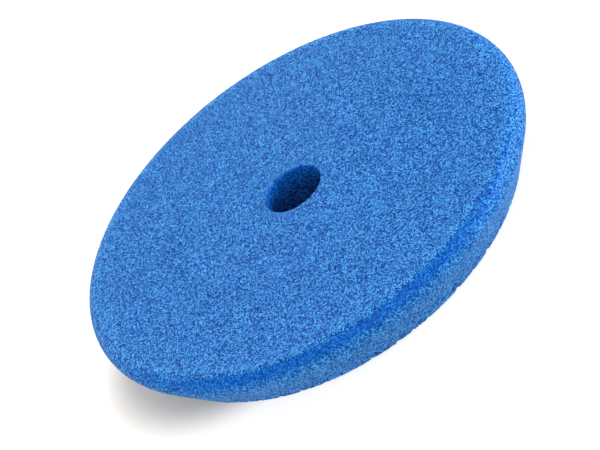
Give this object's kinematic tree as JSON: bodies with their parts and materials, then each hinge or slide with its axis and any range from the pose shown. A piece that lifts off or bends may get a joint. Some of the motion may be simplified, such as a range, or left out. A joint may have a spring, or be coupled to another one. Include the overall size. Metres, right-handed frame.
{
  "type": "polishing pad",
  "caption": "Round foam polishing pad with a flat working face, rounded edge, tapered side, punched centre hole and a hook-and-loop fabric back.",
  "frame": {"origin": "centre of the loop face, where the pad meets its backing plate, at the tops of the loops", "axes": "+Z along the pad's axis of rotation, out of the working face; X and Y lie in the loop face and are interchangeable"},
  "size_m": [0.18, 0.18, 0.025],
  "materials": {
    "foam": "matte open-cell polyurethane foam, royal blue",
    "film": "translucent hot-melt film",
    "cloth": "warp-knitted polyester ground cloth",
    "loops": "brushed polyester loop pile"
  },
  "bodies": {
    "root": {"foam_disc": "foam", "bonding_film": "film", "backing_cloth": "cloth", "loop_pile": "loops"}
  },
  "joints": []
}
